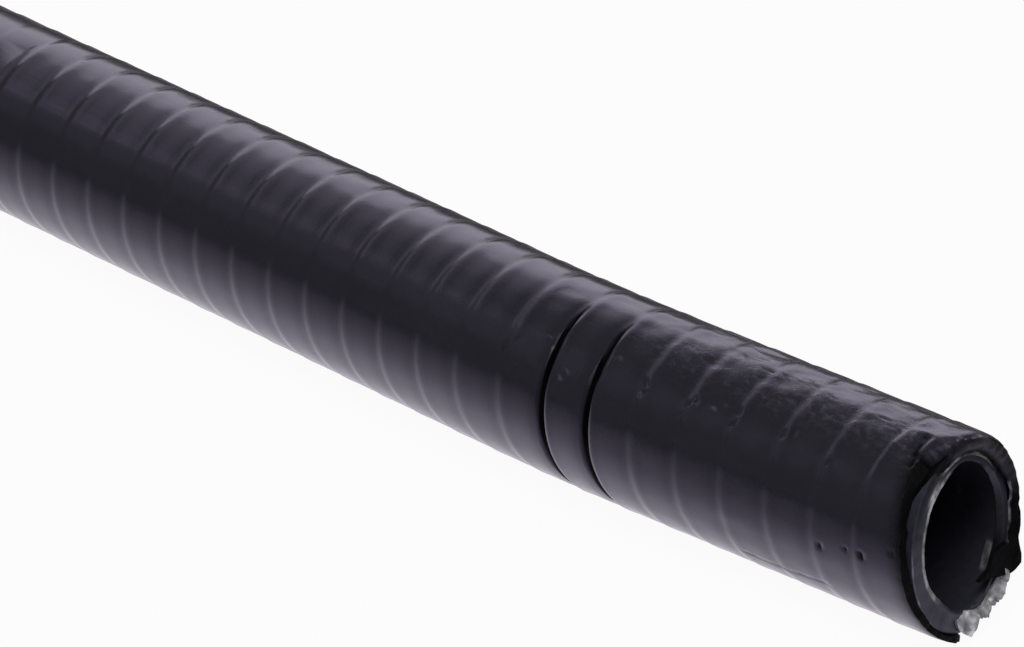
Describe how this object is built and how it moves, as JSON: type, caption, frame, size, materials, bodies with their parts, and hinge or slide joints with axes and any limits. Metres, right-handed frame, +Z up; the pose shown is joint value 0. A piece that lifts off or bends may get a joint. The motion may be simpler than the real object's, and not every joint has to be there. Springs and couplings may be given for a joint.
{
  "type": "covered flexible steel conduit",
  "caption": "Length of black plastic-covered flexible steel conduit: a round strip-wound tube that cables run through, with a square end and a rough slanted cut end.",
  "frame": {"origin": "centre of the bore at the square end", "axes": "+X along the tube from the square end to the slanted cut end, +Z up; its middle bows slightly to -Y and its cut end bends slightly to +Y"},
  "size_m": [1.0041, 0.0255, 0.0178],
  "materials": {
    "pvc_cover": "satin extruded PVC, black",
    "steel_core": "dull galvanised steel strip"
  },
  "bodies": {
    "root": {"pvc_cover": "pvc_cover", "steel_core": "steel_core"}
  },
  "joints": []
}
